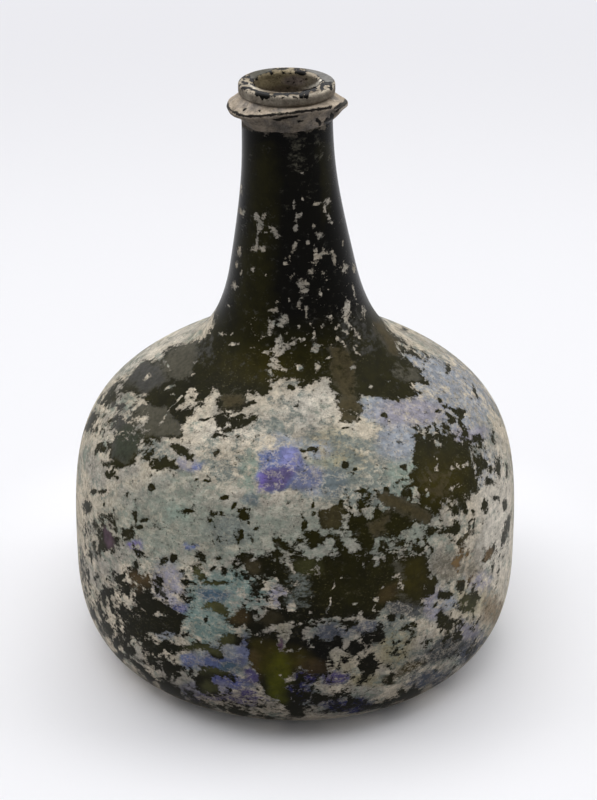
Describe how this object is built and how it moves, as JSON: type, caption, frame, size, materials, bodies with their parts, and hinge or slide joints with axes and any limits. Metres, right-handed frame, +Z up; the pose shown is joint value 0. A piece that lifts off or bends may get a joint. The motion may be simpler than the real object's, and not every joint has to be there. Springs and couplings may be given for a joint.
{
  "type": "glass bottle",
  "caption": "Broad-bodied free-blown wine bottle of weathered dark olive-green glass, with a long tapered neck, a tooled string rim under the lip and a kicked-up base.",
  "frame": {"origin": "on the body's axis, on the surface that the bottle stands on", "axes": "+Z up along the body's axis, -Y towards the pictured front, +X to that view's right"},
  "size_m": [0.148, 0.148, 0.195],
  "materials": {
    "vessel": "dark olive-green glass, satin, mostly under a flaking beige and greenish-grey weathering crust with faint blue, teal and violet iridescence",
    "string_rim": "the same glass, under a nearly unbroken dull beige-grey weathering crust",
    "pontil_scar": "rough broken dark olive-green glass with traces of crust"
  },
  "bodies": {
    "root": {"vessel": "vessel", "string_rim": "string_rim", "pontil_scar": "pontil_scar"}
  },
  "joints": []
}
